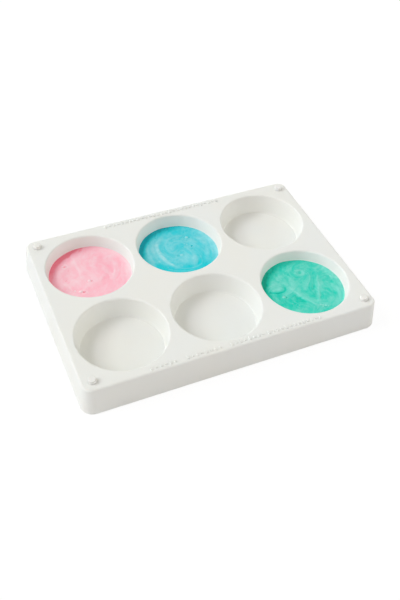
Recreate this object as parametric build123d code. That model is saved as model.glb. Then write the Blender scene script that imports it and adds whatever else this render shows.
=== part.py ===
from build123d import *
import math
import os

# Six-well block palette: an open-bottomed moulded tray with flared sides,
# six round wells in two rows of three, four stacking pegs pressed into the
# corners, and a pool of paint in three of the wells.
#
# Frame: origin at the centre of the base rim, +X along the long side,
# +Y towards the back long side, +Z up. Millimetres.

# ---------------------------------------------------------------- tray shell
height = 20.5              # base rim to top face
top_length = 202.6         # top outline, measured across the flat sides
top_width = 139.0
flare = 2.5                # how far each side leans out from top to base
corner_radius_top = 6.0    # vertical corners, at the top outline
wall = 2.2                 # side walls
top_plate = 2.2            # thickness of the top face
top_edge_radius = 1.5      # rounded edge between top face and sides
base_edge_radius = 0.7     # rounded lip of the base rim
inner_edge_radius = 1.0    # inside corner under the top plate

side_angle = math.degrees(math.atan2(flare, height))
base_length = top_length + 2 * flare
base_width = top_width + 2 * flare
corner_radius_base = corner_radius_top + flare
plate_middle_z = height - top_plate / 2    # cups, ribs and bosses merge in here

# --------------------------------------------------------------------- wells
well_pitch_x = 65.5
well_pitch_y = 65.7
well_rim_radius = 30.0     # at the top face, before the mouth is rounded
well_depth = 15.0
well_draft = 8.9           # degrees the well wall leans in towards the floor
well_rim_edge_radius = 1.1
well_floor_fillet = 0.9
cup_wall = 2.0             # moulding around and under each well
cup_floor = 2.0
rim_tolerance = 0.05       # for picking out the rim circles

floor_z = height - well_depth
cup_bottom = floor_z - cup_floor

# ------------------------------------------------------ underside stiffening
rib_thickness = 1.6
rib_bottom = cup_bottom    # ribs stop level with the cups
boss_radius = 5.0          # corner bosses reach down to the base plane

# ------------------------------------------------------------- stacking pegs
peg_x = 94.2               # half spacing of the four pegs
peg_y = 62.4
peg_radius = 2.65
peg_height = 2.5
peg_edge_radius = 0.75
stem_radius = 1.80
stem_length = 6.5
stem_chamfer = 0.4
stem_overlap = 0.5         # stem runs this far up into the head
stem_hole_radius = stem_radius + 0.02
stem_hole_depth = stem_length + 0.5
socket_radius = peg_radius + 0.35    # underside socket drops over a peg below
socket_depth = peg_height + 0.7

cut_overshoot = 1.0        # cutters run this far past the face they open

# --------------------------------------------------- raised bars on the margins
bar_lengths = (3.0, 2.0, 2.7, 1.7)    # along Y, repeated in this order
bar_width = 1.05
bar_height = 0.8           # above the top face
bar_embed = 0.6            # below the top face
bar_pitch = 3.1
# row centre y, then the nominal (start x, end x) of each run of bars
bar_rows = [
    (66.2, [(-43.0, 43.0)]),
    (-66.1, [(-58.5, -42.5), (-35.0, -12.0), (-4.0, 16.5), (22.0, 58.0)]),
]

# --------------------------------------------------------------------- paint
paint_gap = 0.08           # paint stays this far off the moulding
paint_floor_fillet = well_floor_fillet + 0.3
# colour: well column (-1 left, 1 right), well row (-1 front, 1 back),
# paint surface below the top face
paint_pools = {
    "pink": (-1, 1, 9.5),
    "blue": (0, 1, 9.9),
    "green": (1, -1, 8.5),
}

on_base = (Align.CENTER, Align.CENTER, Align.MIN)
peg_centres = {
    "back_left": (-peg_x, peg_y),
    "back_right": (peg_x, peg_y),
    "front_left": (-peg_x, -peg_y),
    "front_right": (peg_x, -peg_y),
}


def at_well(column, row):
    """Location of a well centre on the base plane."""
    return Pos(column * well_pitch_x, row * well_pitch_y / 2, 0)


well_places = [at_well(column, row) for row in (1, -1) for column in (-1, 0, 1)]


def flared_box(inset, rise):
    """Solid inside the tray's base outline, inset all round, drawn up with the side taper."""
    outline = RectangleRounded(
        base_length - 2 * inset, base_width - 2 * inset, corner_radius_base - inset
    )
    return extrude(outline, amount=rise, taper=side_angle)


def drafted_cup(bottom, top, offset, floor_fillet):
    """Solid that follows the well wall, offset outwards, filleted at the floor."""

    def radius_at(z):
        return well_rim_radius - (height - z) * math.tan(math.radians(well_draft)) + offset

    floor_radius = radius_at(bottom)
    outline = Polyline(
        (0, bottom), (floor_radius, bottom), (radius_at(top), top), (0, top), close=True
    )
    face = make_face(Plane.XZ * outline)
    corner = face.vertices().sort_by_distance((floor_radius, 0, bottom))[0]
    return revolve(fillet(corner, floor_fillet), Axis.Z, 360)


# ---------------------------------------------------------------------- tray
def make_shell():
    """Flared outer skin with its top plate, open underneath."""
    outer = flared_box(0, height)
    outer = fillet(outer.faces().sort_by(Axis.Z)[-1].edges(), top_edge_radius)
    cavity = flared_box(wall, height - top_plate)
    cavity = fillet(cavity.faces().sort_by(Axis.Z)[-1].edges(), inner_edge_radius)
    shell = outer - cavity
    return fillet(shell.faces().sort_by(Axis.Z)[0].edges(), base_edge_radius)


def make_rib(x, length, width):
    """Upright rib trimmed to the middle of the side walls."""
    blank = Box(length, width, plate_middle_z - rib_bottom, align=on_base)
    return flared_box(wall / 2, plate_middle_z) & (Pos(x, 0, rib_bottom) * blank)


def round_well_mouths(tray):
    rim_edges = [
        edge
        for edge in tray.edges().filter_by(GeomType.CIRCLE)
        if abs(edge.radius - well_rim_radius) < rim_tolerance
        and abs(edge.center(CenterOf.BOUNDING_BOX).Z - height) < rim_tolerance
    ]
    return fillet(rim_edges, well_rim_edge_radius)


def make_bar_row(row_y, runs):
    """Round-ended bars, each run centred between its nominal ends."""
    bars = []
    for start_x, end_x in runs:
        count = int(round((end_x - start_x) / bar_pitch)) + 1
        middle_x = (start_x + end_x) / 2
        for k in range(count):
            x = middle_x + (k - (count - 1) / 2) * bar_pitch
            slot = Rot(0, 0, 90) * SlotOverall(bar_lengths[k % len(bar_lengths)], bar_width)
            bar = extrude(slot, amount=bar_height + bar_embed)
            bars.append(Pos(x, row_y, height - bar_embed) * bar)
    return bars


def make_tray():
    cup = drafted_cup(cup_bottom, plate_middle_z, cup_wall, well_floor_fillet + cup_wall)
    long_rib = make_rib(0, base_length, rib_thickness)
    cross_ribs = [make_rib(side * well_pitch_x / 2, rib_thickness, base_width) for side in (-1, 1)]
    boss = Cylinder(boss_radius, plate_middle_z, align=on_base)
    bosses = [Pos(x, y, 0) * boss for x, y in peg_centres.values()]

    tray = make_shell() + [place * cup for place in well_places]
    tray = tray + [long_rib] + cross_ribs + bosses

    # The wells are cut last, so the ribs don't cross them
    well = drafted_cup(floor_z, height + cut_overshoot, 0, well_floor_fillet)
    tray = tray - [place * well for place in well_places]
    tray = round_well_mouths(tray)

    # Peg stem holes from above, stacking sockets from below
    stem_hole = Cylinder(stem_hole_radius, stem_hole_depth + cut_overshoot, align=on_base)
    socket = Cylinder(socket_radius, socket_depth + cut_overshoot, align=on_base)
    for x, y in peg_centres.values():
        tray = tray - Pos(x, y, height - stem_hole_depth) * stem_hole
        tray = tray - Pos(x, y, -cut_overshoot) * socket

    for row_y, runs in bar_rows:
        tray = tray + make_bar_row(row_y, runs)
    return tray.solids().sort_by(SortBy.VOLUME)[-1]


# ---------------------------------------------------------------------- pegs
def make_peg():
    """Peg with the underside of its head on the z = 0 plane."""
    head = Cylinder(peg_radius, peg_height, align=on_base)
    head = fillet(head.faces().sort_by(Axis.Z)[-1].edges(), peg_edge_radius)
    stem = Cylinder(stem_radius, stem_length + stem_overlap, align=on_base)
    stem = Pos(0, 0, -stem_length) * stem
    stem = chamfer(stem.faces().sort_by(Axis.Z)[0].edges(), stem_chamfer)
    return head + stem


# --------------------------------------------------------------------- paint
def make_paint_pool(column, row, below_top):
    pool = drafted_cup(floor_z + paint_gap, height - below_top, -paint_gap, paint_floor_fillet)
    return (at_well(column, row) * pool).solids()[0]


# -------------------------------------------------------------------- export
parts = {"palette_tray": make_tray()}
peg = make_peg()
for corner, (x, y) in peg_centres.items():
    parts["stacking_peg_" + corner] = (Pos(x, y, height) * peg).solids()[0]
for colour, pool_values in paint_pools.items():
    parts["paint_pool_" + colour] = make_paint_pool(*pool_values)

os.makedirs("parts", exist_ok=True)
for name, solid in parts.items():
    solid.label = name
    export_step(solid, "parts/" + name + ".step")
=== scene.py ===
"""A moulded white palette tray with stacking pegs and three round wells of wet paint.

The tray lies flat with +Z up: +X is right, +Y is back. The tray and pegs are CAD pieces that get
a plastic material. Each CAD pool of paint is replaced by a worked, closed body of paint.
"""

import math

import bmesh
import bpy
import numpy as np
from mathutils import Matrix, Vector


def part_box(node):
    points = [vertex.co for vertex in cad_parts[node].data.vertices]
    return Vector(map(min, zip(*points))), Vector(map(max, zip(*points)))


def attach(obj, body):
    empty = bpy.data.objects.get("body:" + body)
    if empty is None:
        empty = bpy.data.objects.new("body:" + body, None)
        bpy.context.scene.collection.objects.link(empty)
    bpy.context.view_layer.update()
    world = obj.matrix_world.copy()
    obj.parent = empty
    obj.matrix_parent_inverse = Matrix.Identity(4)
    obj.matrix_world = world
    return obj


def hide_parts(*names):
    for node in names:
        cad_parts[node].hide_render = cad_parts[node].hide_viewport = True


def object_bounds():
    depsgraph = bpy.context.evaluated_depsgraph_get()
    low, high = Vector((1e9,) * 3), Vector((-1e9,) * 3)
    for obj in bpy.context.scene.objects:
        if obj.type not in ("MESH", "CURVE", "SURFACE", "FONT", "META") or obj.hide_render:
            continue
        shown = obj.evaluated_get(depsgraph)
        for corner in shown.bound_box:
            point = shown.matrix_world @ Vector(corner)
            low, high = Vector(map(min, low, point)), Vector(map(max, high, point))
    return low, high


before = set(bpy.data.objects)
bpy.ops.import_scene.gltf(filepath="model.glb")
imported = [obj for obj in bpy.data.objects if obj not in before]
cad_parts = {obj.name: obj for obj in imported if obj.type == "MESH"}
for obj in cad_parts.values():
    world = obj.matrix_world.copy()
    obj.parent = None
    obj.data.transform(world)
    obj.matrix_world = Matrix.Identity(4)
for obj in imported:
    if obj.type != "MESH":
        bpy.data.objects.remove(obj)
cad_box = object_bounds()

MM = 0.001

# Paint bodies, in metres
WALL_DRAFT = math.tan(math.radians(8.9))  # lean of the well wall
EDGE_OVERLAP = 0.12 * MM                  # seats the paint's edge just inside the wall
FOOT_RADIUS = 1.2 * MM                    # rounding at the well floor
TOP_RINGS, SEGMENTS = 120, 480
WALL_STEPS, FOOT_STEPS = 4, 6

# Stage, in metres
FLOOR_SIZE = 6.0
FLOOR_GAP = 0.0001


# ---------------------------------------------------------------- node helpers
class Nodes:
    """Short ways to build a node tree. Any value may be a socket or a constant."""

    def __init__(self, tree, output):
        self.tree = tree
        tree.nodes.clear()
        self.output = self.node(output)

    def node(self, kind, **properties):
        node = self.tree.nodes.new(kind)
        for name, value in properties.items():
            setattr(node, name, value)
        return node

    def feed(self, socket, value):
        if isinstance(value, bpy.types.NodeSocket):
            self.tree.links.new(value, socket)
        else:
            socket.default_value = value

    def fed(self, kind, **inputs):
        """A node with its inputs filled by name, underscores standing for spaces."""
        node = self.node(kind)
        for name, value in inputs.items():
            self.feed(node.inputs[name.replace("_", " ")], value)
        return node

    def surface(self, shader):
        self.feed(self.output.inputs["Surface"], shader.outputs[0])

    def coords(self, kind="Object"):
        return self.node("ShaderNodeTexCoord").outputs[kind]

    def mapping(self, vector, **inputs):
        return self.fed("ShaderNodeMapping", Vector=vector, **inputs).outputs["Vector"]

    def noise(self, vector, scale, detail=3.0, roughness=0.55, distortion=0.0):
        return self.fed(
            "ShaderNodeTexNoise", Vector=vector, Scale=scale, Detail=detail,
            Roughness=roughness, Distortion=distortion,
        ).outputs["Fac"]

    def remap(self, value, span, to=(0.0, 1.0)):
        return self.fed(
            "ShaderNodeMapRange", Value=value, From_Min=span[0], From_Max=span[1],
            To_Min=to[0], To_Max=to[1],
        ).outputs["Result"]

    def calc(self, operation, *values):
        node = self.node("ShaderNodeMath", operation=operation)
        for socket, value in zip(node.inputs, values):
            self.feed(socket, value)
        return node.outputs[0]

    def vector_calc(self, operation, *values, result="Vector"):
        node = self.node("ShaderNodeVectorMath", operation=operation)
        for socket, value in zip(node.inputs, values):
            self.feed(socket, value)
        return node.outputs[result]

    def mix(self, factor, first, second):
        node = self.node("ShaderNodeMix", data_type="RGBA")
        self.feed(node.inputs[0], factor)
        for socket, colour in ((node.inputs[6], first), (node.inputs[7], second)):
            self.feed(socket, (*colour, 1.0) if isinstance(colour, tuple) else colour)
        return node.outputs[2]

    def attribute(self, name):
        return self.node("ShaderNodeAttribute", attribute_name=name).outputs["Fac"]

    def bump(self, height, strength, distance, **normal):
        return self.fed(
            "ShaderNodeBump", Height=height, Strength=strength, Distance=distance, **normal
        ).outputs["Normal"]


def new_material(name):
    material = bpy.data.materials.new(name)
    material.use_nodes = True
    return material, Nodes(material.node_tree, "ShaderNodeOutputMaterial")


def tint(colour, factors):
    return tuple(c * factor for c, factor in zip(colour, factors))


# ------------------------------------------------------------------- materials
def moulded_plastic(name, base, seed):
    """White satin plastic with slow tone drift, fine grain, hairlines and painted shade in the
    creases.
    """
    material, nodes = new_material(name)
    place = nodes.mapping(nodes.coords(), Location=(seed, seed * 0.37, 0))

    # Slow drift from warm to cool white, with sparse specks
    drift = nodes.noise(place, scale=18.0, roughness=0.5, distortion=0.4)
    warm = tint(base, (1.005, 0.995, 0.975))
    cool = tint(base, (0.995, 1.004, 1.012))
    colour = nodes.mix(nodes.remap(drift, span=(0.3, 0.7)), warm, cool)
    speck = nodes.noise(place, scale=1400.0, detail=2.0, roughness=0.5)
    speck = nodes.remap(speck, span=(0.70, 0.80), to=(0.0, 0.10))
    colour = nodes.mix(speck, colour, tint(base, (0.86,) * 3))

    # Hairline marks: thin bands of a stretched, warped noise, kept to patches
    stretched = nodes.mapping(place, Rotation=(0, 0, 0.55), Scale=(14.0, 260.0, 60.0))
    marks = nodes.noise(stretched, scale=1.0, detail=4.0, roughness=0.6, distortion=0.6)
    line = nodes.calc("ABSOLUTE", nodes.calc("SUBTRACT", marks, 0.5))
    hair = nodes.remap(line, span=(0.0, 0.012), to=(1.0, 0.0))
    patches = nodes.remap(nodes.noise(place, scale=35.0, detail=2.0), span=(0.50, 0.68))
    hair = nodes.calc("MULTIPLY", hair, patches)

    # Painted shade: the creases of the upper face are greyed where ambient occlusion finds them,
    # weaker within 70 mm of the middle in X
    crease = nodes.fed("ShaderNodeAmbientOcclusion", Distance=1.5 * MM)
    crease.samples = 8
    crease_shade = nodes.remap(crease.outputs["AO"], span=(0.45, 0.92), to=(0.26, 0.0))
    position = nodes.node("ShaderNodeNewGeometry").outputs["Position"]
    position = nodes.fed("ShaderNodeSeparateXYZ", Vector=position)
    upper = nodes.remap(position.outputs["Z"], span=(0.0190, 0.0200))
    crease_shade = nodes.calc("MULTIPLY", crease_shade, upper)
    off_middle = nodes.calc("ABSOLUTE", position.outputs["X"])
    sides = nodes.remap(off_middle, span=(0.070, 0.080), to=(0.42, 1.10))
    crease_shade = nodes.calc("MULTIPLY", crease_shade, sides)
    colour = nodes.mix(crease_shade, colour, tint(base, (0.55,) * 3))

    satin = nodes.noise(place, scale=60.0, detail=4.0, roughness=0.6)
    satin = nodes.remap(satin, span=(0.3, 0.7), to=(0.46, 0.54))
    roughness = nodes.calc("ADD", satin, nodes.calc("MULTIPLY", hair, 0.10))

    grain = nodes.noise(place, scale=2600.0, detail=2.0, roughness=0.5)
    wave = nodes.noise(place, scale=55.0, detail=2.0, roughness=0.5)
    scratch = nodes.calc("MULTIPLY", hair, -1.0)
    normal = nodes.bump(grain, strength=0.16, distance=0.00004)
    normal = nodes.bump(wave, strength=0.20, distance=0.00030, Normal=normal)
    normal = nodes.bump(scratch, strength=0.10, distance=0.00003, Normal=normal)
    nodes.surface(nodes.fed(
        "ShaderNodeBsdfPrincipled", Base_Color=colour, Roughness=roughness, IOR=1.49,
        Normal=normal, Specular_IOR_Level=0.38, Subsurface_Weight=0.10,
        Subsurface_Radius=(1.0, 0.9, 0.8), Subsurface_Scale=0.0010,
    ))
    return material


def wet_paint(name, body, deep, pale, pit, seed):
    """Wet opaque paint. The mesh carries how pale and deep each spot is, and where painted light
    brightens it.
    """
    material, nodes = new_material(name)
    place = nodes.mapping(nodes.coords(), Location=(seed, seed * 0.7, 0))
    deep_spot = nodes.attribute("deep")

    broad = nodes.noise(place, scale=120.0, detail=4.0, distortion=1.8)
    fine = nodes.noise(place, scale=520.0, roughness=0.6, distortion=1.4)
    colour = body
    # The deep attribute also carries painted shadow along the back and left edge and painted
    # shade in crater pits and bubble moats; its darkest part takes the pit colour
    for factor, pigment in (
        (nodes.remap(broad, span=(0.40, 0.66), to=(0.0, 0.22)), pale),
        (nodes.remap(broad, span=(0.60, 0.36), to=(0.0, 0.30)), deep),
        (nodes.remap(fine, span=(0.50, 0.74), to=(0.0, 0.16)), deep),
        (nodes.remap(deep_spot, span=(0.0, 0.75)), deep),
        (nodes.attribute("pale"), pale),
        (nodes.remap(deep_spot, span=(0.88, 1.25)), pit),
    ):
        colour = nodes.mix(factor, colour, pigment)
    # Painted light: paint up to 17 % brighter in a band just inside the back left edge, on the
    # lit side of the wall's shadow
    lift = nodes.remap(nodes.attribute("painted_light"), span=(0.0, 1.0), to=(1.0, 1.17))
    brighten = nodes.node("ShaderNodeVectorMath", operation="SCALE")
    nodes.feed(brighten.inputs[0], colour)
    nodes.feed(brighten.inputs["Scale"], lift)

    # Light thrown on the wall: bounced rays see whiter paint from one side and from afar
    ray = nodes.node("ShaderNodeLightPath")
    incoming = nodes.node("ShaderNodeNewGeometry").outputs["Incoming"]
    glare_side = (0.906, -0.423, 0.0)
    facing = nodes.vector_calc("DOT_PRODUCT", incoming, glare_side, result="Value")
    glare = nodes.calc(
        "MAXIMUM",
        nodes.remap(facing, span=(-0.35, 0.60), to=(0.0, 0.85)),
        nodes.remap(ray.outputs["Ray Length"], span=(0.010, 0.030), to=(0.0, 0.75)),
    )
    bounced = nodes.calc("SUBTRACT", 1.0, ray.outputs["Is Camera Ray"])
    glare = nodes.calc("MULTIPLY", glare, bounced)
    colour = nodes.mix(glare, brighten.outputs[0], (0.90, 0.90, 0.88))

    gloss = nodes.noise(place, scale=160.0, roughness=0.6)
    ripple = nodes.noise(place, scale=620.0, distortion=0.8)
    wave = nodes.noise(place, scale=190.0, detail=2.0, roughness=0.5, distortion=1.0)
    normal = nodes.bump(ripple, strength=0.16, distance=0.00010)
    normal = nodes.bump(wave, strength=0.16, distance=0.00030, Normal=normal)
    nodes.surface(nodes.fed(
        "ShaderNodeBsdfPrincipled", Base_Color=colour,
        Roughness=nodes.remap(gloss, span=(0.3, 0.7), to=(0.20, 0.36)), IOR=1.45,
        Normal=normal, Specular_IOR_Level=0.22,
        Coat_Weight=0.06, Coat_Roughness=0.06, Coat_IOR=1.4,
    ))
    return material


# --------------------------------------------------------- heights on a pool
def lattice_noise(x, y, cell, seed):
    """Smooth value noise on a seeded lattice, about -1 to 1."""
    size = 96
    grid = np.random.RandomState(seed).uniform(-1, 1, (size, size))
    x, y = x / cell + size / 2, y / cell + size / 2
    i, j = np.floor(x).astype(int), np.floor(y).astype(int)
    x, y = (f * f * f * (f * (f * 6 - 15) + 10) for f in (x - i, y - j))
    i, j = i % size, j % size
    next_i, next_j = (i + 1) % size, (j + 1) % size
    near = grid[i, j] * (1 - x) + grid[next_i, j] * x
    far = grid[i, next_j] * (1 - x) + grid[next_i, next_j] * x
    return near * (1 - y) + far * y


def curve_points(points):
    """Smooth open Catmull-Rom curve through points, in about 160 steps."""
    knots = [np.array(point, float) for point in points]
    knots = [2 * knots[0] - knots[1]] + knots + [2 * knots[-1] - knots[-2]]
    spans = len(knots) - 3
    steps = 160 // spans
    curve = []
    for i in range(spans):
        a, b, c, d = knots[i : i + 4]
        for k in range(steps):
            t = k / steps
            curve.append(0.5 * (
                2 * b + (c - a) * t + (2 * a - 5 * b + 4 * c - d) * t * t
                + (3 * b - a - 3 * c + d) * t ** 3
            ))
    curve.append(knots[-2])
    return np.array(curve)


def along(x, y, points):
    """Signed distance to a curve (left side positive) and the share of the way along it."""
    curve = curve_points(points)
    nearest = np.full(x.shape, 1e9)
    side = np.zeros(x.shape)
    share = np.zeros(x.shape)
    for k in range(len(curve) - 1):
        start = curve[k]
        step = curve[k + 1] - start
        length_squared = max(step @ step, 1e-9)
        part = ((x - start[0]) * step[0] + (y - start[1]) * step[1]) / length_squared
        part = np.clip(part, 0, 1)
        off_x = x - (start[0] + part * step[0])
        off_y = y - (start[1] + part * step[1])
        distance = np.hypot(off_x, off_y)
        closer = distance < nearest
        nearest = np.where(closer, distance, nearest)
        side = np.where(closer, np.sign(step[0] * off_y - step[1] * off_x), side)
        share = np.where(closer, (k + part) / (len(curve) - 1), share)
    return nearest * np.where(side == 0, 1, side), share


def turned(x, y, angle):
    """Coordinates along and across a direction."""
    cos, sin = math.cos(angle), math.sin(angle)
    return x * cos + y * sin, -x * sin + y * cos


def bell(distance):
    return np.exp(-0.5 * distance ** 2)


def angle_from(angle, middle):
    """Signed angle from a middle direction, within half a turn."""
    return (angle - middle + math.pi) % (2 * math.pi) - math.pi


class Surface:
    """Height, pallor and depth of colour over a pool, in millimetres from the well's axis.

    The tone of a mark is how much paler it is, or how much deeper when negative.
    """

    def __init__(self, x, y, radius):
        self.x, self.y, self.radial = x, y, np.hypot(x, y)
        self.radius = radius
        self.height = np.zeros_like(x)
        self.pale = np.zeros_like(x)
        self.deep = np.zeros_like(x)
        # Hand-drawn marks wander and press unevenly
        self.wander_x = x + 0.55 * self.noise(5.0, 901) + 0.22 * self.noise(1.9, 902)
        self.wander_y = y + 0.55 * self.noise(5.0, 903) + 0.22 * self.noise(1.9, 904)
        self.grip = 0.85 + 0.40 * self.noise(3.4, 905) + 0.20 * self.noise(1.3, 906)

    def noise(self, cell, seed):
        return lattice_noise(self.x, self.y, cell, seed)

    def tone(self, amount, mask):
        self.pale += max(amount, 0) * mask
        self.deep += max(-amount, 0) * mask

    def swell(self, cell, height, seed):
        self.height += height * self.noise(cell, seed)

    def marble(self, cell, amount, seed, stretch, relief, angle, turns=()):
        """Streaks of unmixed pigment, wound up by stirring.

        A turn is a centre, a reach, an angle in radians and a squash.
        """
        x, y = self.x.copy(), self.y.copy()
        for (centre_x, centre_y), reach, turn, squash in turns:
            dx, dy = x - centre_x, (y - centre_y) / squash
            twist = -turn * np.exp(-((np.hypot(dx, dy) / reach) ** 2))
            cos, sin = np.cos(twist), np.sin(twist)
            x, y = centre_x + dx * cos - dy * sin, centre_y + (dx * sin + dy * cos) * squash
        x = x + 1.5 * self.noise(7.0, seed + 1)
        y = y + 1.5 * self.noise(7.0, seed + 2)
        x, y = turned(x, y, angle)
        x = x / stretch
        streaks = (
            lattice_noise(x, y, cell, seed)
            + 0.55 * lattice_noise(x, y, cell * 0.47, seed + 3)
            + 0.30 * lattice_noise(x, y, cell * 0.21, seed + 4)
        )
        self.pale += amount * np.clip(streaks, 0, 1)
        self.deep += amount * np.clip(-streaks, 0, 1)
        self.height += relief * streaks

    def mound(self, centre, size, height, tone, angle=0.0, stretch=1.0, edge=2.0):
        """A soft rise or hollow; a higher edge power makes its side steeper."""
        x, y = turned(self.x - centre[0], self.y - centre[1], angle)
        x, y = x / (size * stretch), y / size
        mask = np.exp(-((x * x + y * y) ** (edge / 2)))
        self.height += height * mask
        self.tone(tone, mask)

    def stroke(self, width, height, tone, points, fade=0.18, crisp=False):
        """A ridge or groove; width may differ to the left and right of travel.

        It fades in and out over a share of its length. A crisp one doesn't wander, and
        where it is deep it also clears the pale tone under it.
        """
        x, y = (self.x, self.y) if crisp else (self.wander_x, self.wander_y)
        distance, share = along(x, y, points)
        left, right = width if isinstance(width, tuple) else (width, width)
        ends = np.clip(np.minimum(share, 1 - share) / fade, 0, 1)
        ends = ends * ends * (3 - 2 * ends)
        mask = bell(distance / np.where(distance > 0, left, right)) * ends
        if not crisp:
            mask = mask * self.grip
        elif tone < 0:
            self.pale *= 1 - np.clip(1.2 * -tone * mask, 0, 1)
        self.height += height * mask
        self.tone(tone, mask)

    def settle(self, most, front_of):
        """In front of a line in Y, the colour gets no deeper than this."""
        self.deep = np.where(self.y < front_of, np.minimum(self.deep, most), self.deep)

    def bubble(self, centre, size, height, pale=0.45, moat=0.25):
        """A small dome with a moat round it. The pale tone on the dome is painted highlight, the
        deeper tone in the moat painted shade.
        """
        away = np.hypot(self.x - centre[0], self.y - centre[1]) / size
        ring = bell((away - 1.15) / 0.20)
        self.height += height * np.sqrt(np.clip(1 - away * away, 0, 1)) - 0.16 * height * ring
        self.pale += pale * np.exp(-((away / 0.95) ** 6))
        self.deep += moat * ring

    def crater(self, centre, size, depth, deep=0.35):
        """A burst bubble: a pit with a raised lip. The darker tone in the pit is painted shade,
        the pale ring round the lip painted highlight.
        """
        away = np.hypot(self.x - centre[0], self.y - centre[1]) / size
        lip = 0.10 * bell((away - 1.05) / 0.22)
        self.height += lip - depth * np.exp(-((away / 0.78) ** 4))
        self.deep += deep * np.exp(-((away / 0.9) ** 4))
        self.pale += 0.25 * deep * bell((away - 1.35) / 0.25)

    def rim(self, angle, spread, width, tone, edge=2.0):
        """Tint along part of the edge: a thin pale film, or deeper colour up to full depth, which
        along the back and left edge is painted shadow of the wall, partly pigment pooled at the
        edge.
        """
        mask = bell(angle_from(np.arctan2(self.y, self.x), angle) / spread)
        mask = mask * np.exp(-((np.abs(self.radius - self.radial) / width) ** edge))
        self.pale *= 1 - np.clip(1.3 * max(-tone, 0) * mask, 0, 1)
        self.tone(tone, mask)

    def finish(self, climb, phase):
        """The paint climbs the wall in a thin curve, a little unevenly round the well."""
        angle = np.arctan2(self.y, self.x)
        uneven = (
            1 + 0.35 * np.sin(2 * angle + phase) + 0.3 * np.sin(5 * angle + 1.7 * phase)
            + 0.2 * np.sin(11 * angle + 0.6 * phase)
        )
        gap = self.radius - self.radial
        calm = 1 - np.exp(-gap / 1.6)
        self.height = self.height * calm + climb * uneven * np.exp(-gap / 0.75)
        self.deep = np.clip(self.deep + 0.20 * np.exp(-gap / 0.6), 0, 1.3)
        self.pale = np.clip(self.pale, 0, 1)
        # Painted light: brighter paint just inside the back left edge, on the lit side of the
        # wall's shadow
        self.painted_light = bell(angle_from(angle, 2.62) / 0.75) * np.exp(-(((gap - 6.2) / 3.2) ** 2))


def add(mark, rows, **shared):
    """Makes one mark per row; a row holds the mark's arguments in order."""
    for row in rows:
        mark(*row, **shared)


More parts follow.
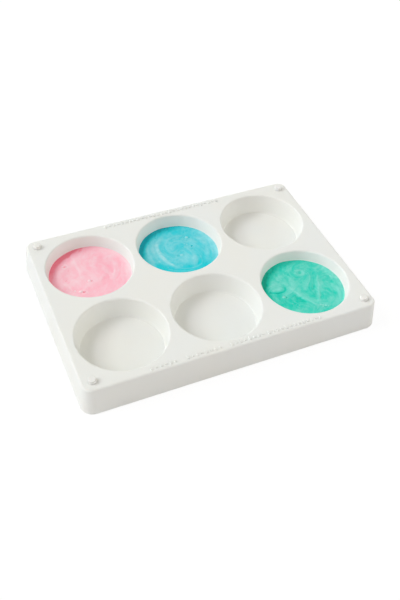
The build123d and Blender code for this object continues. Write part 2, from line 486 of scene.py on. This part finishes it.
# In the tables below, mark columns are:
#   swell   cell, height, seed
#   marble  cell, amount, seed, stretch, relief
#   mound   centre, size, height, tone, angle, stretch
#   stroke  width or (left, right) widths, height, tone, points
#   bubble  centre, size, height, pale, moat
#   crater  centre, size, depth, deep
#   rim     angle, spread, width, tone, edge
def pink_surface(paint):
    add(paint.swell, [(17, 0.24, 11), (7, 0.10, 12), (3.2, 0.04, 13)])
    stir = (((5, 2), 14, 1.2, 1.1), ((-12, 9), 8, -0.9, 1), ((-6, -12), 6, 1.3, 0.9))
    add(paint.marble, [
        (5.2, 0.38, 14, 2.2, 0.06), (1.9, 0.14, 15, 3.4, 0.03),
    ], turns=stir, angle=1.15)
    add(paint.marble, [(1.1, 0.06, 16, 2, 0.012)], angle=1.15)
    # Paler patches, mostly back left, and one deeper patch at the right
    add(paint.mound, [
        ((-10, 9), 8.5, 0.10, 0.30, 0.9, 1.25),
        ((-8.3, 16.2), 1.7, 0.16, 0.60, 1.2, 2),
        ((-3.2, 7.6), 2, 0.12, 0.32, 1.3, 2.2),
        ((16.5, 18.5), 3.2, 0.08, 0.35, 2.2, 1.4),
        ((21.6, 13.2), 1.7, -0.06, -0.22),
    ])
    # Stirred arcs
    add(paint.stroke, [
        ((3.6, 2), -0.22, -0.30,
         [(7, 21), (11.8, 14), (13.8, 5), (12.4, -3), (8, -8.2), (1, -10.6), (-5.5, -9.6)]),
        ((0.8, 0.7), -0.05, -0.12, [(9.6, 12), (12.6, 3), (10.8, -4.4), (5.4, -8.6)]),
        ((1.1, 1), 0.20, 0.36, [(19.4, 9), (18.4, 1.5), (15.6, -5), (11.2, -10.6)]),
        ((0.6, 0.5), 0.06, 0.25, [(17.4, 3), (16.2, -2.4), (13.2, -7.6)]),
        ((1.3, 1.1), -0.12, -0.22,
         [(23.4, 11), (22.4, 2), (19.6, -6.5), (13, -14), (5, -17.4)]),
        (0.5, 0.08, 0.30, [(24.6, 6), (22.6, -1.5), (18.6, -8.4), (13, -13.4)]),
        (0.4, 0.06, 0.24, [(20.8, 5), (19.8, -0.5), (17, -6.5), (13.4, -11)]),
        (1, -0.16, -0.28, [(-12, 4.4), (-8, 2.8), (-3.6, 3.6)]),
        (1.6, -0.14, -0.30, [(-22, -3), (-17.5, -7), (-12, -10), (-6, -14.5)]),
        (1, 0.10, 0.20, [(-21.5, 1.5), (-18.5, -2), (-14, -4.2)]),
        (1.2, 0.12, -0.30, [(-2, 24.5), (4.5, 24.6), (10, 22)]),
        (0.9, 0.10, 0.25, [(-15, 20), (-11, 21.5), (-5, 22)]),
        (0.8, 0.12, 0.18, [(9.5, -2), (6, -5.5), (0, -7.4)]),
    ])
    add(paint.crater, [
        ((-14.4, 13.8), 1.35, 0.46, 0.95), ((-13.2, 9.4), 0.9, 0.26, 0.4),
        ((-17.4, 0.2), 1.1, 0.26, 0.45), ((-1.1, -5.8), 1.05, 0.38, 0.75),
        ((-9, -14.4), 1.25, 0.50, 0.95), ((16, 12.3), 0.9, 0.22, 0.3),
    ])
    add(paint.bubble, [
        ((-15.9, 14.6), 0.9, 0.30, 0.55), ((-2.7, -5), 1.25, 0.50, 0.75),
        ((-11.1, -13.2), 1.45, 0.58, 0.85), ((-14.6, -11.2), 1, 0.36, 0.6, 0.4),
    ])
    add(paint.bubble, [
        ((3.5, 17), 0.5), ((-21.5, -8.2), 0.6), ((-6.4, -12), 0.5),
        ((-7, -16.4), 0.6), ((-16.4, -8.6), 0.45), ((9.4, -17.6), 0.5),
    ], height=0.20)
    # The deeper bands from the back round to the left edge are painted shadow of the wall, partly
    # deeper pigment; the pale band at the right is a thin film
    add(paint.rim, [
        (-0.1, 0.75, 2.6, 0.75), (2.40, 0.60, 5.7, -1.18, 3), (2.00, 0.35, 6, -0.30),
        (1.70, 0.35, 3.4, -0.50), (3.35, 0.45, 4.6, -0.42),
    ])
    paint.finish(climb=0.40, phase=1)


def blue_surface(paint):
    add(paint.swell, [(18, 0.20, 31), (7.5, 0.08, 32), (3, 0.03, 33)])
    stir = (((-2.5, 4.5), 9, 1.9, 1.1), ((2, -1), 17, 1.5, 1), ((10, 8), 6, -1.3, 1))
    add(paint.marble, [
        (5.6, 0.23, 34, 2.2, 0.05), (2.2, 0.12, 35, 3.4, 0.025),
    ], turns=stir, angle=1.4)
    add(paint.marble, [(1.1, 0.07, 36, 2, 0.012)], angle=1.2)
    # The long pale sweep down the left
    add(paint.stroke, [
        ((1.15, 0.70), 0.28, 0.68,
         [(-2, 19.5), (-9.5, 16.4), (-13.2, 9.6), (-13.6, 3), (-12.3, -4), (-10.2, -9.5),
          (-6.6, -14.2), (-1, -18.6)]),
    ], fade=0.28)
    add(paint.stroke, [
        # Finer marks beside the sweep
        ((0.45, 0.40), 0.08, 0.30,
         [(-6, 18), (-11.4, 12), (-12.4, 4), (-11, -4), (-8.6, -10.6), (-4, -16)]),
        ((1.3, 1), 0.14, 0.30, [(-12, 15.5), (-16.6, 9), (-17.4, 2), (-15.6, -5), (-12.4, -11)]),
        ((0.9, 0.7), 0.10, 0.22, [(-16, 16), (-20, 9), (-20.6, 1), (-18, -7)]),
        ((1.2, 0.9), -0.16, -0.32, [(-5, 15.2), (-9.6, 11), (-10.6, 4), (-9.2, -4), (-6, -10.8)]),
        ((0.8, 0.6), -0.12, -0.40, [(-3, 11.4), (-7.4, 9), (-8.2, 3.6), (-6, -1)]),
        (0.7, 0.10, 0.20, [(-5.2, 8.8), (-5.9, 4.4), (-3.6, 0.8), (0.6, 0.4)]),
        (0.9, 0.08, 0.22, [(-6.6, 14.2), (-1.6, 15.8), (3, 14)]),
        # The stirred front and right
        (1.4, -0.14, -0.40, [(-7, -12.4), (0, -15.6), (8, -15.4), (15, -10.6), (18.6, -3)]),
        (0.4, 0.07, 0.10, [(-5, -13.8), (2, -16.9), (9, -16.4), (15.6, -12)]),
        (0.6, 0.10, 0.10, [(-4, -16.4), (4, -18.4), (12, -16.4), (18.4, -10.4)]),
        (1.3, -0.12, -0.55, [(-9, -15.6), (-2, -19.8), (7, -20.8), (15, -17.6)]),
        (0.8, 0.08, 0.20, [(-4.5, -8.4), (1.5, -10.8), (7, -9.6), (11, -5.4)]),
        ((0.9, 1.1), -0.12, -0.25, [(12, 14.5), (16.6, 8.6), (17.4, 1.6), (14.6, -5.4)]),
        (1.2, 0.12, 0.30, [(18.6, 14), (21.4, 5), (20.6, -4), (16.8, -11.6)]),
        (0.5, -0.08, -0.25, [(22.8, 9), (24, 0), (21.6, -8.6), (17, -15)]),
        (0.4, 0.08, 0.25, [(25.4, 5), (24.9, -3), (21.9, -11.4)]),
        # Back right
        (1.3, -0.08, -0.30, [(2, 20.4), (8, 21), (14, 18.4)]),
    ])
    add(paint.mound, [
        ((-17, -10), 3, -0.05, -0.30, -0.8, 2),
        ((8.6, 18), 1.5, -0.12, -0.42, 0, 1.3),
        ((5, 6.2), 1.9, -0.10, -0.30, 1.2, 1.5),
        ((8.2, 3), 2.2, 0.10, 0.28),
        ((15, 10), 3, 0.08, 0.20),
        ((-6, 17.5), 2.4, 0.10, 0.20, 0.3, 1.8),
    ])
    add(paint.bubble, [
        ((11.5, 13.1), 1.25, 0.52, 0.9), ((8.8, 5.8), 0.75, 0.28), ((7.4, 7.2), 0.55, 0.2),
        ((6.6, 3.8), 0.65, 0.22), ((10.2, 8.4), 0.5, 0.18), ((9.2, 9.8), 0.4, 0.16),
        ((1.2, -3.3), 1.4, 0.36, 0.40, 0.45), ((-16.2, -4.4), 0.7, 0.24),
        ((-12.6, -11.6), 0.6, 0.22, 0.6), ((4, -18.5), 0.55, 0.18),
    ])
    add(paint.crater, [
        ((13.5, 12.6), 0.85, 0.24, 0.5), ((11.6, 3.2), 1, 0.46, 1), ((5.2, 5.2), 0.7, 0.2, 0.3),
        ((-1.3, -3), 1.25, 0.34, 0.50), ((-10.4, 19.4), 0.8, 0.2),
    ])
    # The deeper bands from the back round to the left edge are painted shadow of the wall, partly
    # deeper pigment; a deeper band also runs along the front edge, and the pale band at the right
    # is a thin film
    add(paint.rim, [
        (-0.25, 0.75, 2.8, 0.60), (2.55, 0.48, 4.8, -1.28, 4), (1.52, 0.46, 8.6, -0.84),
        (3.5, 0.5, 3.6, -0.60), (-1.75, 0.8, 5, -0.60),
    ])
    # A broad deep band along the front, with two thin pale lines on it
    add(paint.stroke, [
        ((3, 3.6), -0.06, -0.58,
         [(-23, -3.5), (-17.5, -9.8), (-11, -15.2), (-3, -18.6), (6, -19.4), (13, -17),
          (18, -13)]),
    ], crisp=True)
    paint.settle(most=0.84, front_of=-7.5)
    add(paint.stroke, [
        (0.30, 0.05, 0.25, [(-15, -11.6), (-9, -16.4), (-1.6, -19.2), (5, -19.8)]),
        (0.30, 0.05, 0.22, [(-6, -14.6), (-0.6, -17.4), (6.6, -17.8), (12.6, -15.4)]),
    ], crisp=True)
    paint.finish(climb=0.38, phase=2)


def ring_dollop(paint):
    """The green pool's small ring with a dimple, right of the middle at the back."""
    away = np.hypot((paint.wander_x - 5.4) / 1.12, paint.wander_y - 14.6)
    away = away + 0.25 * paint.noise(2.6, 57)
    ring = bell((away - 2.7) / 0.85)
    paint.height += 0.34 * ring - 0.28 * np.exp(-((away / 1.4) ** 4))
    paint.pale += 0.50 * ring * paint.grip
    outer_shade = 0.25 * bell((away - 4.6) / 0.7) * (paint.x < 4)
    paint.deep += 0.20 * np.exp(-((away / 1.2) ** 4)) + outer_shade


def green_surface(paint):
    add(paint.swell, [(15, 0.26, 51), (6.5, 0.12, 52), (3, 0.05, 53)])
    stir = (
        ((5.4, 14.6), 7, 2.8, 1), ((-14, 4), 8, -2.2, 0.8),
        ((14, -5), 11, 1.8, 1.1), ((-6, -12), 8, 2, 1),
    )
    add(paint.marble, [
        (4.4, 0.36, 54, 2, 0.07), (1.7, 0.22, 55, 2.4, 0.035),
    ], turns=stir, angle=0.9)
    add(paint.marble, [(1, 0.14, 56, 1.8, 0.015)], angle=1.1)
    ring_dollop(paint)
    # Pillow-shaped dollop at the left, with a sharp front edge
    add(paint.mound, [((-16.6, 6.2), 3.9, 0.46, 0.28, -0.12, 1.5)], edge=4.5)
    add(paint.stroke, [
        ((0.75, 0.50), -0.12, -0.80,
         [(-23.5, 5.2), (-19.5, 2.9), (-15, 2.1), (-11.8, 3.2), (-10.4, 6.4)]),
    ], fade=0.06, crisp=True)
    add(paint.stroke, [
        (0.7, 0.14, 0.40, [(-20.8, 5.6), (-16, 5.2), (-12.6, 5.8)]),
        (0.8, 0.14, 0.25, [(-20.4, 9.6), (-15.4, 10.6), (-11.6, 8.8)]),
    ])
    # The pale fold from the back left down to the front, with a crease beside it
    add(paint.stroke, [
        ((2.8, 0.7), 0.24, 0.30,
         [(-13, 14.5), (-9.4, 8), (-7.4, 2), (-4.6, -3.6), (-1.2, -10.4), (1.4, -16.2),
          (3.4, -20)]),
        ((0.5, 0.4), 0.08, 0.34, [(-8, 1), (-4.8, -4), (-1.2, -11), (1.6, -17)]),
    ], fade=0.12)
    add(paint.stroke, [
        ((0.5, 1.9), -0.30, -0.62, [(-9, -1.8), (-6.4, -5.6), (-4.4, -9.6), (-2.2, -14)]),
    ])
    add(paint.stroke, [
        ((0.45, 1.50), -0.10, -0.60, [(-7.8, -4.4), (-5.4, -8), (-3, -12.6)]),
    ], crisp=True)
    # The crossing stir marks right of the middle
    add(paint.stroke, [
        ((0.8, 0.9), 0.26, 0.26,
         [(17.6, 12.8), (14.6, 6.4), (11.6, -0.6), (8.4, -8.4), (4.6, -15.6)]),
        ((0.4, 0.35), 0.06, 0.26, [(16.2, 9.4), (12.6, 1.2), (9.2, -7), (5.6, -14.6)]),
    ], fade=0.12)
    add(paint.stroke, [(0.6, -0.32, -0.62, [(9.4, 1.4), (8.4, -1.2), (5.8, -2.4)])], fade=0.25)
    add(paint.stroke, [
        ((1.1, 1), -0.18, -0.32,
         [(15.4, 12.6), (12.4, 6.2), (9.6, -0.4), (6.4, -8), (3.4, -13.4)]),
        ((0.7, 1.1), -0.14, -0.26, [(5.8, -2.4), (0.4, -1.8), (-4.4, -2.6)]),
        ((1.8, 0.6), -0.18, -0.32, [(11.8, 1), (16.6, 1), (21.4, -0.2), (25.6, -2.4)]),
        ((0.9, 0.6), -0.16, -0.32, [(12.6, -0.8), (15.6, -6.6), (19.4, -11.2), (22.2, -14)]),
        ((1, 1.3), 0.10, 0.18, [(11, -8), (13.6, -13.4), (15, -19)]),
        # Right edge
        ((0.7, 0.6), 0.20, 0.30, [(18, 17), (22.8, 9.4), (24.4, 1), (23.4, -8), (19.6, -15.6)]),
        (0.6, -0.14, -0.16, [(21.6, 12), (22.4, 6.6), (22.2, 1.6)]),
        # Back
        (0.8, -0.12, -0.30, [(0.6, 18.6), (0.2, 13.4), (2, 9.4), (6, 8.2)]),
        (1.1, 0.10, 0.22, [(7.5, 21.5), (12, 20.4), (16.4, 16.8)]),
        (0.7, 0.12, 0.24, [(-4, 24), (-1, 19), (3.4, 22.6)]),
    ])
    add(paint.mound, [
        ((-10.4, 15.9), 2.4, 0.20, 0.42, 0.5, 1.7),
        ((-4, 8), 4.2, 0.10, 0.16, -0.6, 1.5),
        ((12.6, -3.4), 2, 0.16, 0.36, -1, 1.7),
        ((18.6, -5.2), 3.4, -0.10, -0.26, -0.5, 1.3),
        ((10.4, -12.6), 2.6, -0.12, -0.28, 1.2, 1.6),
        ((19.6, 6.6), 3.2, -0.10, -0.18, 0.4, 1.3),
        ((-11.6, -8.4), 4.2, -0.08, -0.34),
        ((-5.4, -16.4), 3, 0.10, 0.16, 0.2, 1.5),
    ])
    add(paint.bubble, [((-15.8, -2.2), 1.15, 0.52, 1)])
    add(paint.bubble, [
        ((4.4, -17.5), 0.85), ((5.7, -18.4), 0.7), ((7.2, -19.4), 0.85), ((8.6, -20.2), 0.6),
        ((5, -19.6), 0.55),
    ], height=0.38, pale=0.9, moat=0.3)
    add(paint.bubble, [
        ((24.2, 4.6), 0.8), ((25, 2.9), 0.6), ((23.6, 6.4), 0.5), ((-16.8, 13.6), 0.5),
        ((-3.4, 19.4), 0.5), ((-13, -9.8), 0.65), ((-9.4, -12.6), 0.55),
        ((-11.2, -11.4), 0.4), ((14, 12.5), 0.45), ((-17.4, -6.4), 0.5),
    ], height=0.26)
    add(paint.crater, [((-14.1, -3), 0.85, 0.46, 1), ((-9, 17.8), 0.5, 0.16)])
    # The deeper bands from the back round to the left are painted shadow of the wall, partly
    # deeper pigment; the pale band at the right is a thin film
    add(paint.rim, [
        (-0.1, 0.70, 2.8, 0.55), (2.60, 0.50, 4.6, -1.02, 4), (1.55, 0.55, 5.5, -0.58),
        (3.20, 0.45, 3.6, -0.40), (3.9, 0.5, 2.8, -0.50),
    ])
    paint.settle(most=0.96, front_of=-4.2)
    add(paint.rim, [(-2.1, 0.7, 3.4, -0.45)])
    paint.finish(climb=0.42, phase=3)


# -------------------------------------------------------------- pool meshes
def side_profile(depth, radius):
    """Heights and radii down the drafted wall, then round into the floor."""
    wall = depth - FOOT_RADIUS
    profile = []
    for k in range(1, WALL_STEPS + 1):
        z = -wall * k / WALL_STEPS
        profile.append((z, radius + WALL_DRAFT * z))
    foot_top = radius - WALL_DRAFT * wall
    for k in range(1, FOOT_STEPS + 1):
        angle = math.pi / 2 * k / FOOT_STEPS
        z = -wall - FOOT_RADIUS * math.sin(angle)
        profile.append((z, foot_top - FOOT_RADIUS * (1 - math.cos(angle))))
    return profile


def paint_body(colour, work_surface, material):
    """A closed body of paint: worked top, wetted edge on the wall, rounded foot."""
    node = "paint_pool_" + colour
    low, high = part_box(node)
    centre_x, centre_y = (low.x + high.x) / 2, (low.y + high.y) / 2
    radius = (high.x - low.x) / 2 + EDGE_OVERLAP

    # Rings sit a little closer together at the wall; the middle point comes last
    shares = np.linspace(0, 1, TOP_RINGS + 1)[1:]
    shares = 1 - (1 - shares) ** 1.12
    angles = np.linspace(0, 2 * math.pi, SEGMENTS, endpoint=False)
    ring_radii, ring_angles = np.meshgrid(shares * radius / MM, angles, indexing="ij")
    top_x = np.append((ring_radii * np.cos(ring_angles)).ravel(), 0.0)
    top_y = np.append((ring_radii * np.sin(ring_angles)).ravel(), 0.0)
    paint = Surface(top_x, top_y, radius / MM)
    work_surface(paint)
    # The wall leans, so the edge moves out as it climbs
    lean = (
        1 + WALL_DRAFT * np.clip(paint.height, -1, 1) / np.maximum(paint.radial, 1)
        * (paint.radial / paint.radius) ** 8
    )

    bm = bmesh.new()
    top = [
        bm.verts.new((centre_x + x * MM * k, centre_y + y * MM * k, high.z + z * MM))
        for x, y, z, k in zip(top_x, top_y, paint.height, lean)
    ]
    rings = [top[k * SEGMENTS : (k + 1) * SEGMENTS] for k in range(TOP_RINGS)]
    for z, r in side_profile(high.z - low.z, radius):
        rings.append([
            bm.verts.new((centre_x + r * math.cos(a), centre_y + r * math.sin(a), high.z + z))
            for a in angles
        ])
    bottom = bm.verts.new((centre_x, centre_y, low.z))
    following = [(i, (i + 1) % SEGMENTS) for i in range(SEGMENTS)]
    for i, j in following:
        bm.faces.new((top[-1], rings[0][i], rings[0][j]))
    for inner, outer in zip(rings, rings[1:]):
        for i, j in following:
            bm.faces.new((inner[i], outer[i], outer[j], inner[j]))
    for i, j in following:
        bm.faces.new((rings[-1][j], rings[-1][i], bottom))
    bm.normal_update()

    name = "wet_paint_" + colour
    mesh = bpy.data.meshes.new(name)
    bm.to_mesh(mesh)
    bm.free()
    for key in ("pale", "deep", "painted_light"):
        values = np.zeros(len(mesh.vertices), np.float32)
        values[: len(top)] = getattr(paint, key)
        mesh.attributes.new(key, "FLOAT", "POINT").data.foreach_set("value", values)
    mesh.polygons.foreach_set("use_smooth", [True] * len(mesh.polygons))
    mesh.materials.append(material)
    body = bpy.data.objects.new(name, mesh)
    bpy.context.scene.collection.objects.link(body)
    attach(body, "root")
    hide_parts(node)


# ------------------------------------------------------------------- the stage
def white_floor():
    """Lights the object like a matte floor, but looks almost evenly white to the camera."""
    bm = bmesh.new()
    bmesh.ops.create_grid(bm, x_segments=4, y_segments=4, size=FLOOR_SIZE / 2)
    mesh = bpy.data.meshes.new("floor")
    bm.to_mesh(mesh)
    bm.free()
    floor = bpy.data.objects.new("floor", mesh)
    bpy.context.scene.collection.objects.link(floor)
    floor.location = (0, 0, cad_box[0][2] - FLOOR_GAP)

    material, nodes = new_material("floor_white")
    seen = nodes.node("ShaderNodeLightPath").outputs["Is Camera Ray"]
    matte = nodes.fed("ShaderNodeBsdfDiffuse", Color=(0.85, 0.85, 0.85, 1))
    glow = nodes.fed("ShaderNodeEmission", Color=(1, 1, 1, 1), Strength=1.06)
    mixer = nodes.node("ShaderNodeMixShader")
    nodes.feed(mixer.inputs[0], nodes.calc("MULTIPLY", seen, 0.86))
    nodes.feed(mixer.inputs[1], matte.outputs[0])
    nodes.feed(mixer.inputs[2], glow.outputs[0])
    nodes.surface(mixer)
    mesh.materials.append(material)


# Soft studio light as broad glows on the sky: azimuth from +X and elevation in degrees,
# sharpness, colour
GLOWS = (
    (0, 22, 8.0, (1.145, 1.137, 1.070)),
    (90, 22, 8.0, (1.130, 1.160, 1.130)),
    (270, 22, 8.0, (0.975, 0.930, 0.955)),
    (300, 58, 8.0, (0.625, 0.603, 0.515)),
    (165, 6, 20.0, (0.890, 0.873, 0.875)),
    (170, 30, 45.0, (0.100, 0.098, 0.096)),
    (120, 46, 220.0, (0.086, 0.085, 0.091)),
    (131, 51, 220.0, (0.054, 0.047, 0.049)),
    (142, 51, 220.0, (0.102, 0.096, 0.103)),
    (153, 51, 220.0, (0.114, 0.111, 0.120)),
    (145, 36, 160.0, (0.095, 0.113, 0.090)),
    (145, 50, 160.0, (0.081, 0.080, 0.090)),
    (157, 36, 160.0, (0.339, 0.361, 0.350)),
    (157, 50, 160.0, (0.040, 0.038, 0.048)),
    (169, 36, 160.0, (0.363, 0.380, 0.388)),
    (169, 50, 160.0, (0.353, 0.355, 0.355)),
)


def studio_world():
    world = bpy.data.worlds.new("studio")
    bpy.context.scene.world = world
    world.use_nodes = True
    nodes = Nodes(world.node_tree, "ShaderNodeOutputWorld")
    toward = nodes.coords("Generated")
    total = (0.0, 0.0, 0.0)
    for azimuth, elevation, sharpness, colour in GLOWS:
        turn, rise = math.radians(azimuth), math.radians(elevation)
        middle = (
            math.cos(rise) * math.cos(turn), math.cos(rise) * math.sin(turn), math.sin(rise),
        )
        facing = nodes.vector_calc("DOT_PRODUCT", toward, middle, result="Value")
        power = nodes.calc("MULTIPLY_ADD", facing, sharpness, -sharpness)
        lobe = nodes.calc("EXPONENT", power)
        strength = tuple(c * sharpness / (2 * math.pi) for c in colour)
        total = nodes.vector_calc("MULTIPLY_ADD", lobe, strength, total)
    # The glows light the scene; the camera sees plain white behind the floor
    seen = nodes.node("ShaderNodeLightPath").outputs["Is Camera Ray"]
    backdrop = nodes.mix(seen, total, (1.0, 1.0, 1.0))
    nodes.surface(nodes.fed("ShaderNodeBackground", Color=backdrop))


def place_camera():
    """Looks down at the tray from the front left."""
    right = Vector((0.9177475817916146, -0.3948539830333927, 0.042775088524846155))
    up = Vector((0.25956890771998076, 0.6778270895294302, 0.6878767468414074))
    backward = Vector((-0.3006049870855426, -0.6201941379783648, 0.7245659893733446))
    data = bpy.data.cameras.new("camera")
    data.sensor_width = 36.0
    data.sensor_fit = "AUTO"
    data.lens = 45.56688
    data.clip_start = 0.01
    camera = bpy.data.objects.new("camera", data)
    bpy.context.scene.collection.objects.link(camera)
    pose = Matrix((right, up, backward)).transposed().to_4x4()
    pose.translation = (-0.15844, -0.334129, 0.382491)
    camera.matrix_world = pose
    bpy.context.scene.camera = camera


# ------------------------------------------------------------------ the object
def dress(node, material):
    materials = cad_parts[node].data.materials
    materials.clear()
    materials.append(material)


dress("palette_tray", moulded_plastic("tray_plastic", base=(0.893, 0.90, 0.878), seed=0.0))
peg_plastic = moulded_plastic("peg_plastic", base=(0.89, 0.89, 0.87), seed=3.1)
for node_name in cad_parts:
    if node_name.startswith("stacking_peg_"):
        dress(node_name, peg_plastic)

pink = wet_paint(
    "paint_pink", body=(1.05, 0.598, 0.690), deep=(1.05, 0.470, 0.585),
    pale=(1.05, 0.755, 0.815), pit=(0.98, 0.24, 0.33), seed=0.3,
)
blue = wet_paint(
    "paint_blue", body=(0.125, 0.69, 0.785), deep=(0.010, 0.65, 0.745),
    pale=(0.42, 0.83, 0.90), pit=(0.0, 0.41, 0.51), seed=0.9,
)
green = wet_paint(
    "paint_green", body=(0.075, 0.715, 0.58), deep=(0.004, 0.665, 0.505),
    pale=(0.29, 0.81, 0.72), pit=(0.0, 0.45, 0.32), seed=1.7,
)
paint_body("pink", pink_surface, pink)
paint_body("blue", blue_surface, blue)
paint_body("green", green_surface, green)

white_floor()
studio_world()
place_camera()

view = bpy.context.scene.view_settings
view.view_transform = "Standard"
view.look = "None"
view.exposure = 0.0

bpy.context.view_layer.update()
